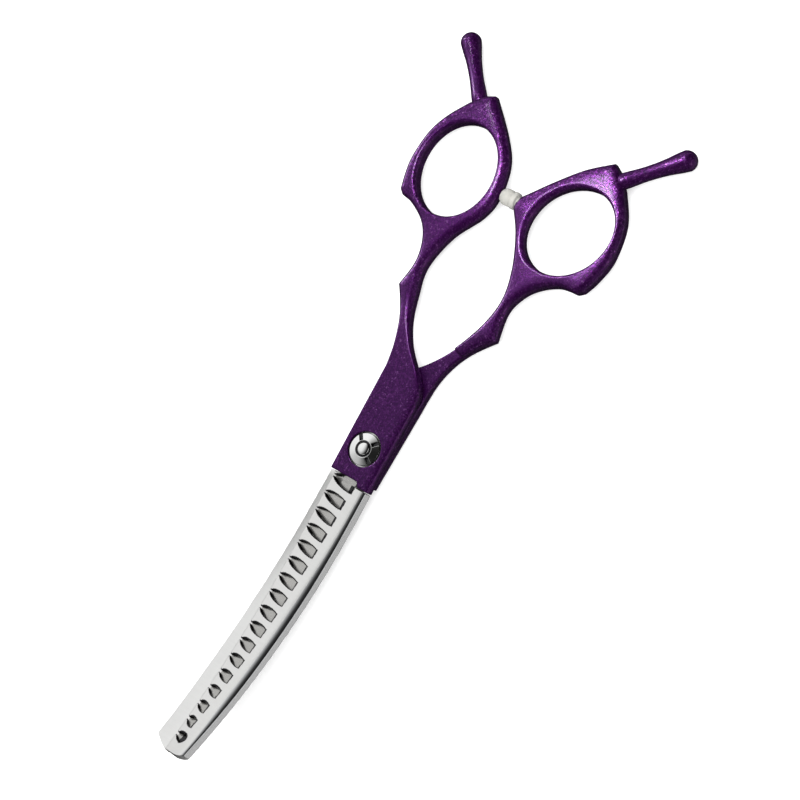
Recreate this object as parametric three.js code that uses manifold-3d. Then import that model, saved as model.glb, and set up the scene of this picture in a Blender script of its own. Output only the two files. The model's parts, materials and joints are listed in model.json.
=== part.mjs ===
// Curved thinning shears with two finger rings, two finger rests and a tension screw.
// Frame: millimetres. The pivot axis is Z, +X runs along the closed blades to their tips, and +Z is
// the screw's side. The origin is on the pivot axis, at the flat underside of the pivot nut.
import * as THREE from 'three';
import { mergeVertices } from 'three/addons/utils/BufferGeometryUtils.js';
import Module from 'manifold-3d';

const wasm = await Module();
wasm.setup();

// ---- driving dimensions ----
const RIDE_Z = 4.0; // height of the plane where the two halves ride on each other
const RIDE_GAP = 0.15; // each half stands this far off the ride plane
const TANG_THICK = 3.0;
const RING_THICK = 4.6;
const EDGE_ROUND = { inset: 0.8, share: 0.4 }; // how far in, and over what share of the half thickness
const HOLE_SIDES = 28;
const FIT = 0.3; // gap left between pieces that touch
const SLIP = 0.15; // clearance round a pin or a bore
const FAR = 20; // long enough for a cutter to pass right through

const BLADE_START = 8.3; // distance from the pivot where the bare blade begins
const BLADE_END = 89.5;
const BEND_START = 19; // both blades are straight up to here, then curve up on one radius
const BEND_RADIUS = 169;
const SPINE_THICK = 2.6;
const EDGE_THICK = 0.75; // toothed blade at its tooth tips
const KEEN_THICK = 0.3; // plain blade at its cutting edge
const BLADE_STATIONS = 17;

const TOOTH_GAPS = 17;
const FIRST_GAP = 10.1;
const GAP_PITCH = 4.69;
const GAP_HALF_WIDTH = 1.4;
const GAP_WIDEST = 0.3; // where a gap is widest, as a share of its length from its flat base
const GAP_BASE_NARROWING = 0.16;
const GAP_LEAN = 0.75; // how far a gap leans back to the pivot at its narrow end
const GAP_PAST_EDGE = { first: 1.6, last: 0.95 }; // a gap's base lies this far past the plain blade's edge
const GAP_ABOVE_TEETH = 0.35; // a gap has narrowed to its slit this far from the tooth tips
const SLIT_WIDTH = 0.5;

const PLATE = { back: -14, front: BLADE_START + 1, thick: 1.7 }; // each blade's flat tang inside its handle
const TOOTHED_PLATE_SIDES = [-4.2, 4.7];
const PLAIN_PLATE_SIDES = [-5.2, 4.0];
const NOSE_NOTCH = { end: 9.5, side: 2.6 }; // makes room for the front handle's nose beside the blade
const CHOIL = { thick: 0.8, outline: [[8, -5], [13.5, -5], [13.5, 0], [11.5, 2.6], [8, 3.6]] };
const PIN = { radius: 0.9, low: 0.2, high: 2.6, places: [[-8, 2.2], [-12, -2.2]] };

// Heights here are measured from the ride plane.
const SCREW = {
  end: -3.1, threadRadius: 1.7, threadTop: -0.3, shankRadius: 1.9, shankTop: 2.4,
  bossRadius: 1.55, bossTop: 4.14,
};
const DIAL = { radius: 4.1, bottom: 2.7, rim: 3.0, coneRadius: 2.2, top: 3.78 };
const DIAL_SLOTS = { angles: [48, 137, 225], from: 2.3, width: 1.0, floor: 2.85 };
const SPRING_WASHER = { inner: 2.2, outer: 3.8, low: 2.43, high: 2.6 };
const COUNTERBORE = { radius: 4.5, floor: 2.35 };
const BUSH = { inner: 2.1, outer: 2.6, low: 0.3, high: 2.2 };
const BORE_RADIUS = 2.8;
const THRUST_WASHER = { inner: 3.0, outer: 3.9, low: -0.2, high: 0.2 };
const WASHER_RECESS = { radius: 4.1, depth: 0.4 };
const NUT = {
  flangeRadius: 4.2, chamfer: 0.3, bodyRadius: 2.7, flangeTop: -3.45, bodyTop: -0.5, floor: -3.3,
  keyHoleRadius: 0.6, keyHoleReach: 3.0, keyHoleTop: -3.5,
};
const NUT_BORE = NUT.bodyRadius + 0.2;
const SWEEP_RADIUS = 33; // the back handle is cut down to the ride plane inside this circle

const FRONT_RING = { x: -72.0, y: -15.1, long: 12.4, wide: 10.4, turn: 0 };
const BACK_RING = { x: -70.5, y: 20.5, long: 12.3, wide: 10.5, turn: -34 };
// A rest is a slim club; drop is how many degrees it slopes down from its ring.
const REST = {
  rootRadius: 2.15, neckRadius: 1.8, neckAt: 5, bulbRadius: 2.7, length: 19.0, drop: 4.4, boreStart: -2,
};
const FRONT_REST = { x: -90.1, y: -19.35, heading: 221 };
const BACK_REST = { x: -87.4, y: 26.3, heading: 133.5 };
const STUD = { radius: 1.0, half: 3.0, clearance: 0.2 };
const BUMPER = {
  place: { x: -71.5, y: 5.2, heading: -90 }, stemRadius: 1.35, radius: 2.2, shoulder: 2.15, length: 6.55,
  boreRadius: 1.05, boreEnd: 4.6,
};
const BUMPER_STUD = { radius: 0.8, start: -2.7, end: 4.3 };

// ---- materials ----
const paint = new THREE.MeshStandardMaterial({ color: 0x4a1a72, roughness: 0.35, metalness: 0.6 });
const steel = new THREE.MeshStandardMaterial({ color: 0xc9cacb, roughness: 0.3, metalness: 1 });
const polished = new THREE.MeshStandardMaterial({ color: 0xd8d9da, roughness: 0.12, metalness: 1 });
const brass = new THREE.MeshStandardMaterial({ color: 0xb98d3e, roughness: 0.35, metalness: 1 });
const nylon = new THREE.MeshStandardMaterial({ color: 0xe9e7df, roughness: 0.55, metalness: 0 });
const rubber = new THREE.MeshStandardMaterial({ color: 0xd9dbd6, roughness: 0.4, metalness: 0 });

// ---- solids ----
function toSolid(geometry) {
  const plain = geometry.clone();
  plain.deleteAttribute('normal');
  plain.deleteAttribute('uv');
  const merged = mergeVertices(plain, 1e-4);
  return new wasm.Manifold(new wasm.Mesh({
    numProp: 3,
    vertProperties: new Float32Array(merged.attributes.position.array),
    triVerts: new Uint32Array(merged.index.array),
  }));
}

function toMesh(name, solid, material) {
  const mesh = solid.getMesh();
  const geometry = new THREE.BufferGeometry();
  geometry.setAttribute('position', new THREE.BufferAttribute(new Float32Array(mesh.vertProperties), 3));
  geometry.setIndex(new THREE.BufferAttribute(new Uint32Array(mesh.triVerts), 1));
  geometry.computeVertexNormals();
  const result = new THREE.Mesh(geometry, material);
  result.name = name;
  return result;
}

function cut(solid, ...tools) {
  return tools.reduce((body, tool) => body.subtract(tool), solid);
}

// A plan shape raised between two heights measured from the ride plane.
function prism(shape, low, high) {
  const geometry = new THREE.ExtrudeGeometry(shape, { depth: high - low, bevelEnabled: false });
  geometry.translate(0, 0, RIDE_Z + low);
  return toSolid(geometry);
}

function boxSolid(x0, x1, y0, y1, low, high) {
  const geometry = new THREE.BoxGeometry(x1 - x0, y1 - y0, high - low);
  geometry.translate((x0 + x1) / 2, (y0 + y1) / 2, RIDE_Z + (low + high) / 2);
  return toSolid(geometry);
}

// A turned solid: the profile is [radius, height] pairs, and the axis ends up along +Z at x, y.
function turned(profile, x = 0, y = 0, segments = 28) {
  const points = profile.map(([radius, height]) => new THREE.Vector2(radius, height));
  const geometry = new THREE.LatheGeometry(points, segments);
  geometry.rotateX(Math.PI / 2);
  geometry.translate(x, y, RIDE_Z);
  return toSolid(geometry);
}

function rod(radius, low, high, x = 0, y = 0, segments = 24) {
  return turned([[0, low], [radius, low], [radius, high], [0, high]], x, y, segments);
}

function ring({ inner, outer, low, high }) {
  return turned([[inner, low], [outer, low], [outer, high], [inner, high], [inner, low]]);
}

// ---- the curve of the blades ----
// s runs along the blade from the pivot and h is the height above the ride plane before bending.
function bend(s, h) {
  const angle = Math.max(0, s - BEND_START) / BEND_RADIUS;
  if (angle === 0) return [s, RIDE_Z + h];
  const reach = BEND_RADIUS - h;
  return [BEND_START + reach * Math.sin(angle), RIDE_Z + BEND_RADIUS - reach * Math.cos(angle)];
}

// 0 where the bare blade begins, 1 near its tip
function along(s) {
  return Math.max(0, s - 8) / 80;
}

const toothedEdge = (s) => -5.45 + 2.3 * along(s) ** 2.2;
const toothedSpine = (s) => 6.2 - 2.6 * along(s) ** 1.7;
const plainEdge = (s) => 0.28 - 2.2 * along(s) ** 2;
const plainSpine = (s) => -7.25 - 0.95 * Math.sin(2.2 * along(s));

// A blade's section goes from its edge (0) to its spine (1) and from the ride face out to the back.
function bladeSection(edgeThick) {
  return new THREE.Shape([
    new THREE.Vector2(0, 0),
    new THREE.Vector2(1, 0),
    new THREE.Vector2(0.965, 0.93),
    new THREE.Vector2(0.87, 1),
    new THREE.Vector2(0, edgeThick / SPINE_THICK),
  ]);
}

// side is 1 for the blade above the ride plane and -1 for the one below it.
function bladeBody(side, edgeThick, edge, spine) {
  const length = BLADE_END + 1 - BLADE_START;
  const geometry = new THREE.ExtrudeGeometry(bladeSection(edgeThick), {
    depth: length, steps: BLADE_STATIONS, bevelEnabled: false,
  });
  const position = geometry.attributes.position;
  for (let i = 0; i < position.count; i += 1) {
    const s = BLADE_START + position.getZ(i);
    const y = edge(s) + position.getX(i) * (spine(s) - edge(s));
    const h = side * (RIDE_GAP + position.getY(i) * SPINE_THICK);
    const [x, z] = bend(s, h);
    position.setXYZ(i, x, y, z);
  }
  return toSolid(geometry);
}

// A cutter made flat round s = 0 and then carried to its place on the bent blade.
function onBlade(shape, s, depth) {
  const geometry = new THREE.ExtrudeGeometry(shape, { depth, bevelEnabled: false, curveSegments: 8 });
  geometry.translate(0, 0, -depth / 2);
  geometry.rotateY(-Math.max(0, s - BEND_START) / BEND_RADIUS);
  const [x, z] = bend(s, 0);
  geometry.translate(x, 0, z);
  return toSolid(geometry);
}

// The region cut away beyond the blades' tips, measured from the tip: one sloped, softly rounded end.
function tipCutter() {
  const outline = new THREE.Shape();
  outline.moveTo(-3.5, 7);
  outline.lineTo(-2.6, 4.4);
  outline.quadraticCurveTo(0, 3.2, 0, 0.8);
  outline.quadraticCurveTo(0, -2.6, -0.9, -5.0);
  outline.lineTo(-2.9, -8.2);
  outline.lineTo(-2.9, -11);
  outline.lineTo(6, -11);
  outline.lineTo(6, 7);
  return onBlade(outline, BLADE_END, FAR);
}

function polygon(points) {
  return new THREE.Shape(points.map(([x, y]) => new THREE.Vector2(x, y)));
}

// Half the width of a gap, q of the way from its base (0) to the slit between two tooth tips (1).
function gapHalfWidth(q) {
  const share = q < GAP_WIDEST
    ? 1 - GAP_BASE_NARROWING * (1 - q / GAP_WIDEST) ** 2
    : (1 - ((q - GAP_WIDEST) / (1 - GAP_WIDEST)) ** 2.3) ** 0.55;
  return Math.max(GAP_HALF_WIDTH * share, SLIT_WIDTH / 2);
}

// One gap between two teeth: bullet shaped, and only the last one has a round base.
function toothGap(number) {
  const s = FIRST_GAP + number * GAP_PITCH;
  const bottom = toothedEdge(s) + GAP_ABOVE_TEETH;
  const top = plainEdge(s) + THREE.MathUtils.lerp(GAP_PAST_EDGE.first, GAP_PAST_EDGE.last, along(s));
  const steps = 8;
  const near = [];
  const far = [];
  for (let i = 0; i <= steps; i += 1) {
    const q = i / steps;
    const y = top + (bottom - top) * q;
    near.push([-gapHalfWidth(q) - GAP_LEAN * q, y]);
    far.unshift([gapHalfWidth(q) - GAP_LEAN * q, y]);
  }
  const mouth = [
    [-GAP_LEAN - SLIT_WIDTH / 2, bottom - 1],
    [-GAP_LEAN + SLIT_WIDTH / 2, bottom - 1],
  ];
  const base = [];
  if (number === TOOTH_GAPS - 1) {
    const reach = gapHalfWidth(0);
    for (let i = 1; i < steps; i += 1) {
      const angle = (Math.PI * i) / steps;
      base.push([reach * Math.cos(angle), top + reach * Math.sin(angle)]);
    }
  }
  return onBlade(polygon([...near, ...mouth, ...far, ...base]), s, FAR / 2);
}

function pinHoles(low, high) {
  return PIN.places.map(([x, y]) => rod(PIN.radius + SLIP, low, high, x, y, 16));
}

function makeToothedBlade() {
  const plate = boxSolid(PLATE.back, PLATE.front, ...TOOTHED_PLATE_SIDES, RIDE_GAP, RIDE_GAP + PLATE.thick);
  const notch = boxSolid(0, NOSE_NOTCH.end, NOSE_NOTCH.side, FAR, -FAR, FAR);
  let blade = cut(bladeBody(1, EDGE_THICK, toothedEdge, toothedSpine), notch).add(plate);
  for (let number = 0; number < TOOTH_GAPS; number += 1) {
    blade = cut(blade, toothGap(number));
  }
  const recess = rod(WASHER_RECESS.radius, 0, WASHER_RECESS.depth);
  return cut(blade, tipCutter(), rod(BORE_RADIUS, 0, FAR), recess, ...pinHoles(-FAR, FAR));
}

function makeCuttingBlade() {
  const low = -RIDE_GAP - PLATE.thick;
  const plate = boxSolid(PLATE.back, PLATE.front, ...PLAIN_PLATE_SIDES, low, -RIDE_GAP);
  const choil = prism(polygon(CHOIL.outline), -RIDE_GAP - CHOIL.thick, -RIDE_GAP);
  const blade = bladeBody(-1, KEEN_THICK, plainEdge, plainSpine).add(plate).add(choil);
  const recess = rod(WASHER_RECESS.radius, -WASHER_RECESS.depth, 0);
  return cut(blade, tipCutter(), rod(NUT_BORE, -FAR, 0), recess, ...pinHoles(-FAR, FAR));
}

// ---- handles ----
// Where a handle leaves the tang (1) and reaches the ring (0): its middle height and half
// thickness change with it.
function tangShare(x) {
  const t = THREE.MathUtils.clamp((x + 40) / 14, 0, 1);
  return t * t * (3 - 2 * t);
}

function ringHole({ x, y, long, wide, turn }) {
  const tilt = THREE.MathUtils.degToRad(turn);
  const ellipse = new THREE.EllipseCurve(x, y, long, wide, 0, 2 * Math.PI, false, tilt);
  return new THREE.Path(ellipse.getPoints(HOLE_SIDES).slice(0, HOLE_SIDES));
}

// Each outline is a chain of stretches: a smooth curve through its points, sharp where two meet.
function outline(stretches) {
  const shape = new THREE.Shape();
  shape.moveTo(...stretches[0][0]);
  for (const stretch of stretches) {
    const points = stretch.map(([x, y]) => new THREE.Vector2(x, y));
    if (points.length === 2) shape.lineTo(points[1].x, points[1].y);
    else shape.splineThru(points.slice(1));
  }
  return shape;
}

const FRONT_OUTLINE = [
  [[7.9, -6.0], [-21, -5.9]],
  [[-21, -5.9], [-26, -6.7], [-30, -8.1], [-34, -10.2], [-40.1, -14.6]],
  [[-40.1, -14.6], [-46.5, -13.5], [-52, -14.5], [-56.4, -17.3], [-59.4, -22], [-60.3, -25.6]],
  [[-60.3, -25.6], [-61.4, -26.8]],
  [[-61.4, -26.8], [-68.8, -28.2], [-77, -27.4], [-83, -24.9], [-88.5, -21.0]],
  [[-88.5, -21.0], [-91.7, -17.7]],
  [[-91.7, -17.7], [-92.7, -15.4]],
  [[-92.7, -15.4], [-84.6, -7.2], [-78.5, -3.1], [-70.5, -1.65], [-64.3, -3.0], [-56.3, -7.9],
    [-47.2, -10.3], [-40.1, -9.0], [-34, -6.7], [-28, -2.6], [-22, 3.4], [-18.5, 5.8], [-14, 6.6]],
  [[-14, 6.6], [9.2, 6.4]],
  [[9.2, 6.4], [9.2, 3.1]],
  [[9.2, 3.1], [7.9, 2.3]],
  [[7.9, 2.3], [7.9, -6.0]],
];

const BACK_OUTLINE = [
  [[7.9, 5.3], [7.9, -6.9]],
  [[7.9, -6.9], [-13, -6.6]],
  [[-13, -6.6], [-17, -5.6], [-21, -2.6], [-26, 2.6], [-32, 7.0], [-40, 11.1], [-48, 12.7],
    [-56, 11.1], [-64, 7.4], [-69.3, 3.7]],
  [[-69.3, 3.7], [-71, 3.2], [-72.7, 3.7]],
  [[-72.7, 3.7], [-80, 10.2], [-86, 16.3], [-90.4, 22.6]],
  [[-90.4, 22.6], [-89.2, 24.5]],
  [[-89.2, 24.5], [-85.5, 28.1]],
  [[-85.5, 28.1], [-78.2, 32.6], [-69.3, 34.1], [-63, 32.9], [-58.9, 31.2]],
  [[-58.9, 31.2], [-57.8, 29.8]],
  [[-57.8, 29.8], [-57.2, 24.6], [-54, 19.5], [-50, 16.6], [-45.5, 15.5], [-38.5, 16.6]],
  [[-38.5, 16.6], [-33, 11.5], [-28, 8.4], [-22, 6.7], [-14, 6.25]],
  [[-14, 6.25], [7.9, 5.3]],
];

// The handle blank: first two units thick with rounded edges, then scaled to its own thickness along
// its length and set up or down from the ride plane.
function handleBlank(side, stretches, hole) {
  const shape = outline(stretches);
  shape.holes.push(ringHole(hole));
  const depth = 2 - 2 * EDGE_ROUND.share;
  const geometry = new THREE.ExtrudeGeometry(shape, {
    depth,
    bevelThickness: EDGE_ROUND.share,
    bevelSize: EDGE_ROUND.inset,
    bevelOffset: -EDGE_ROUND.inset,
    bevelSegments: 2,
    curveSegments: 3,
  });
  geometry.translate(0, 0, -depth / 2);
  const position = geometry.attributes.position;
  for (let i = 0; i < position.count; i += 1) {
    const share = tangShare(position.getX(i));
    const half = THREE.MathUtils.lerp(RING_THICK / 2, TANG_THICK / 2, share);
    const middle = side * share * (RIDE_GAP + TANG_THICK / 2);
    position.setZ(i, RIDE_Z + middle + position.getZ(i) * half);
  }
  return toSolid(geometry);
}

// A tool lying along a heading in plan, starting at x, y on the handle's middle plane.
function lyingTool(profile, { x, y, heading, tilt = 0 }, segments = 18) {
  const points = profile.map(([radius, reach]) => new THREE.Vector2(radius, reach));
  const geometry = new THREE.LatheGeometry(points, segments);
  geometry.rotateZ(-Math.PI / 2);
  geometry.rotateY(THREE.MathUtils.degToRad(tilt));
  geometry.rotateZ(THREE.MathUtils.degToRad(heading));
  geometry.translate(x, y, RIDE_Z);
  return toSolid(geometry);
}

function lyingRod(radius, start, end, place, segments = 16) {
  return lyingTool([[0, start], [radius, start], [radius, end], [0, end]], place, segments);
}

// The pocket that a blade's plate lies in, open at the ride plane and at the handle's front.
function platePocket([low, high], side) {
  const heights = [0, side * (RIDE_GAP + PLATE.thick + FIT)].sort((a, b) => a - b);
  return boxSolid(PLATE.back - FIT, FAR, low - FIT, high + FIT, ...heights);
}

function studHole(place) {
  return lyingRod(STUD.radius + STUD.clearance, -STUD.half - FIT, STUD.half, place);
}

function makeFrontHandle() {
  return cut(
    handleBlank(1, FRONT_OUTLINE, FRONT_RING),
    platePocket(TOOTHED_PLATE_SIDES, 1),
    rod(BORE_RADIUS, -FAR, FAR),
    rod(COUNTERBORE.radius, COUNTERBORE.floor, FAR, 0, 0, 40),
    ...pinHoles(0, PIN.high + SLIP),
    studHole(FRONT_REST),
  );
}

function makeBackHandle() {
  return cut(
    handleBlank(-1, BACK_OUTLINE, BACK_RING),
    rod(SWEEP_RADIUS, -RIDE_GAP, FAR, 0, 0, 48),
    platePocket(PLAIN_PLATE_SIDES, -1),
    rod(NUT_BORE, -FAR, FAR),
    ...pinHoles(-PIN.high - SLIP, 0),
    studHole(BACK_REST),
    lyingRod(BUMPER.stemRadius + SLIP, -FIT, BUMPER.length, BUMPER.place, 24),
    lyingRod(BUMPER_STUD.radius + STUD.clearance, BUMPER_STUD.start - FIT, BUMPER.length, BUMPER.place),
  );
}

// ---- finger rests, bumper and small parts ----
function makeRest(place) {
  const { rootRadius, neckRadius, neckAt, bulbRadius, length } = REST;
  const bulbAt = length - bulbRadius;
  const profile = [
    [0, FIT], [rootRadius, FIT], [neckRadius, neckAt], [neckRadius + 0.2, 2 * neckAt],
    [bulbRadius - 0.25, bulbAt - 2],
  ];
  for (let angle = 0; angle < 90; angle += 18) {
    const turn = THREE.MathUtils.degToRad(angle);
    profile.push([bulbRadius * Math.cos(turn), bulbAt + bulbRadius * Math.sin(turn)]);
  }
  profile.push([0, length]);
  const body = lyingTool(profile, { ...place, tilt: REST.drop });
  return cut(body, lyingRod(STUD.radius + STUD.clearance, REST.boreStart, STUD.half + FIT, place));
}

// A stem in the handle's socket and a wider head outside it, hollow for its stud.
function makeBumper() {
  const { stemRadius, radius, shoulder, length, boreRadius, boreEnd } = BUMPER;
  return lyingTool([
    [boreRadius, 0], [stemRadius, 0], [stemRadius, shoulder], [radius, shoulder], [radius, length - 1.25],
    [radius - 0.5, length - 0.35], [radius - 1.3, length], [0, length], [0, boreEnd], [boreRadius, boreEnd],
    [boreRadius, 0],
  ], BUMPER.place);
}

function makeBumperStud() {
  const { radius, start, end } = BUMPER_STUD;
  return lyingRod(radius, start, end, BUMPER.place);
}

function makeScrew() {
  const { end, threadRadius, threadTop, shankRadius, shankTop, bossRadius, bossTop } = SCREW;
  return turned([
    [0, end], [threadRadius, end], [threadRadius, threadTop], [shankRadius, threadTop + 0.2],
    [shankRadius, shankTop], [bossRadius, shankTop + SLIP], [bossRadius, bossTop - 0.4],
    [bossRadius - 0.55, bossTop - 0.1], [0, bossTop],
  ]);
}

// The slotted dial that is pressed on the screw and turned to set the tension.
function makeDial() {
  const { radius, bottom, rim, coneRadius, top } = DIAL;
  const inner = SCREW.bossRadius + SLIP;
  const body = turned([
    [inner, bottom], [radius, bottom], [radius, rim], [coneRadius, top], [inner, top], [inner, bottom],
  ], 0, 0, 40);
  const { angles, from, width, floor } = DIAL_SLOTS;
  const slots = angles.map((degrees) => {
    const slot = boxSolid(from, FAR, -width / 2, width / 2, floor, FAR);
    return slot.rotate([0, 0, degrees]);
  });
  return cut(body, ...slots);
}

function makeNut() {
  const { flangeRadius, chamfer, bodyRadius, flangeTop, bodyTop, floor } = NUT;
  const threadRadius = SCREW.threadRadius + 0.1;
  const body = turned([
    [0, -RIDE_Z], [flangeRadius - chamfer, -RIDE_Z], [flangeRadius, chamfer - RIDE_Z],
    [flangeRadius, flangeTop], [bodyRadius, flangeTop], [bodyRadius, bodyTop],
    [threadRadius, bodyTop], [threadRadius, floor], [0, floor],
  ], 0, 0, 40);
  const { keyHoleRadius, keyHoleReach, keyHoleTop } = NUT;
  const keyHoles = [keyHoleReach, -keyHoleReach].map((x) => rod(keyHoleRadius, -FAR, keyHoleTop, x, 0, 12));
  return cut(body, ...keyHoles);
}

function tangPin(side, [x, y]) {
  const [low, high] = [side * PIN.low, side * PIN.high].sort((a, b) => a - b);
  return rod(PIN.radius, low, high, x, y, 16);
}

function restStud(place) {
  return lyingRod(STUD.radius, -STUD.half, STUD.half, place);
}

// ---- the assembly ----
const backHalf = new THREE.Group();
backHalf.add(
  toMesh('back_handle', makeBackHandle(), paint),
  toMesh('cutting_blade', makeCuttingBlade(), steel),
  toMesh('back_tang_pin_1', tangPin(-1, PIN.places[0]), steel),
  toMesh('back_tang_pin_2', tangPin(-1, PIN.places[1]), steel),
  toMesh('back_finger_rest', makeRest(BACK_REST), paint),
  toMesh('back_rest_stud', restStud(BACK_REST), steel),
  toMesh('bumper', makeBumper(), rubber),
  toMesh('bumper_stud', makeBumperStud(), steel),
  toMesh('pivot_nut', makeNut(), polished),
  toMesh('thrust_washer', ring(THRUST_WASHER), nylon),
);

const frontHalf = new THREE.Group();
frontHalf.add(
  toMesh('front_handle', makeFrontHandle(), paint),
  toMesh('toothed_blade', makeToothedBlade(), steel),
  toMesh('front_tang_pin_1', tangPin(1, PIN.places[0]), steel),
  toMesh('front_tang_pin_2', tangPin(1, PIN.places[1]), steel),
  toMesh('front_finger_rest', makeRest(FRONT_REST), paint),
  toMesh('front_rest_stud', restStud(FRONT_REST), steel),
  toMesh('pivot_bush', ring(BUSH), brass),
);

const tensionScrew = new THREE.Group();
tensionScrew.add(
  toMesh('pivot_screw', makeScrew(), polished),
  toMesh('tension_dial', makeDial(), polished),
  toMesh('spring_washer', ring(SPRING_WASHER), polished),
);

const shears = new THREE.Group();
shears.add(backHalf, frontHalf, tensionScrew);
export default shears;
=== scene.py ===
# Looks of the curved thinning shears. The CAD frame is loaded in metres; shapes here are worked out
# in millimetres in that same frame and scaled once when a mesh is made.
import json
import math

import bmesh
import bpy
import numpy as np
from mathutils import Matrix, Vector

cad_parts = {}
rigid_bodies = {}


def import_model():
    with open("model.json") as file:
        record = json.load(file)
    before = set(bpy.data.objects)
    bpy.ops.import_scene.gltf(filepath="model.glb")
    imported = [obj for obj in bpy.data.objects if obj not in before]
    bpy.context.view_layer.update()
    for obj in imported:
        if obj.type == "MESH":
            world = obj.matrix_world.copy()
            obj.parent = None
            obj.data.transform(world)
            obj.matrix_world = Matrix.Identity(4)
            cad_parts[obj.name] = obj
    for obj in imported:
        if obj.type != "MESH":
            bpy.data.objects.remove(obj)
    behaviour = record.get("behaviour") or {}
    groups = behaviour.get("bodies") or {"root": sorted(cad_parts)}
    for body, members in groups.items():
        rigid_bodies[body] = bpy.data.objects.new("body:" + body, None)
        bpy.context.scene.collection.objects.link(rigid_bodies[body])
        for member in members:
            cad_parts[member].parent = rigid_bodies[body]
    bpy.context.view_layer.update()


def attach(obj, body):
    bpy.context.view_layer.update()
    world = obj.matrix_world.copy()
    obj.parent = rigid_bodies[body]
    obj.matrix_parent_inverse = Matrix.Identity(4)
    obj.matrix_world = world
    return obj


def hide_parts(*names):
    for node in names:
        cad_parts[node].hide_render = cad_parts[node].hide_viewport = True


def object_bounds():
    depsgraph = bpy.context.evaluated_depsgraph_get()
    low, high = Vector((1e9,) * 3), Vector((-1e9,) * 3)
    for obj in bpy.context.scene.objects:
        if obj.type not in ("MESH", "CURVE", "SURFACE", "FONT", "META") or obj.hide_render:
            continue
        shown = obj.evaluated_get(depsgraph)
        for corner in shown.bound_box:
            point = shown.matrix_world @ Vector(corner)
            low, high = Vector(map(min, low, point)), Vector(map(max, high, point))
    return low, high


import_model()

MM = 0.001
RIDE = 4.0  # height of the plane where the halves ride on each other
RIDE_GAP = 0.15  # each half stands this far off that plane
TINY = 1e-6


# ---------------------------------------------------------------- small maths
def smooth(t):
    """Rises from 0 to 1 without a corner as t does."""
    t = np.clip(t, 0.0, 1.0)
    return t * t * (3 - 2 * t)


def mix(a, b, t):
    return a + (b - a) * t


def soft_max(a, b, k):
    """The larger of the two, with their crossing rounded over about k."""
    h = np.clip(0.5 + 0.5 * (a - b) / k, 0, 1)
    return mix(b, a, h) + k * h * (1 - h)


def soft_min(a, b, k):
    return -soft_max(-a, -b, k)


def rounded_edge(d, v, t, a, b):
    """A plate's solid: d is the distance outside its outline, v the height off its middle plane, t its half
    thickness, and a, b the rounding's size in plan and in height."""
    u, w = d / a + 1, (np.abs(v) - t) / b + 1
    corner = (np.sqrt(np.maximum(u, 0) ** 2 + np.maximum(w, 0) ** 2) - 1) * np.minimum(a, b)
    return np.where((u > 0) & (w > 0), corner, np.maximum(d, np.abs(v) - t))


def box_field(x, y, z, x0, x1, y0, y1, z0, z1):
    dx = np.abs(x - (x0 + x1) / 2) - (x1 - x0) / 2
    dy = np.abs(y - (y0 + y1) / 2) - (y1 - y0) / 2
    dz = np.abs(z - (z0 + z1) / 2) - (z1 - z0) / 2
    return np.maximum(np.maximum(dx, dy), dz)


def rod_field(x, y, z, cx, cy, radius, z0, z1):
    return np.maximum(np.hypot(x - cx, y - cy) - radius, np.abs(z - (z0 + z1) / 2) - (z1 - z0) / 2)


def lying_rod_field(x, y, z, place, radius, start, end):
    """A rod that lies in the ride plane, along the heading of its place."""
    turn = math.radians(place["heading"])
    u = (x - place["x"]) * math.cos(turn) + (y - place["y"]) * math.sin(turn)
    v = (y - place["y"]) * math.cos(turn) - (x - place["x"]) * math.sin(turn)
    return np.maximum(np.hypot(v, z - RIDE) - radius, np.abs(u - (start + end) / 2) - (end - start) / 2)


def cut(body, *tools):
    for tool in tools:
        body = np.maximum(body, -tool)
    return body


# ---------------------------------------------------------------- outlines
def outline(stretches, per_span=22):
    """A closed loop from stretches, each a smooth curve through its points and sharp where two meet."""
    loop = []
    for stretch in stretches:
        p = [np.array(q, float) for q in stretch]
        last = len(p) - 1
        for i in range(last):
            if last == 1:
                loop.append(p[0])
                continue
            p0, p1, p2, p3 = p[max(i - 1, 0)], p[i], p[i + 1], p[min(i + 2, last)]
            v0, v1 = (p2 - p0) / 2, (p3 - p1) / 2
            cubic = 2 * p1 - 2 * p2 + v0 + v1
            square = 3 * p2 - 3 * p1 - 2 * v0 - v1
            for k in range(per_span):
                t = k / per_span
                loop.append(cubic * t**3 + square * t**2 + v0 * t + p1)
    return np.array(loop)


def ellipse(x, y, long, wide, turn, count=140):
    a = np.arange(count) * 2 * math.pi / count
    c, s = math.cos(math.radians(turn)), math.sin(math.radians(turn))
    u, v = long * np.cos(a), wide * np.sin(a)
    return np.stack([x + u * c - v * s, y + u * s + v * c], 1)


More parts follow.
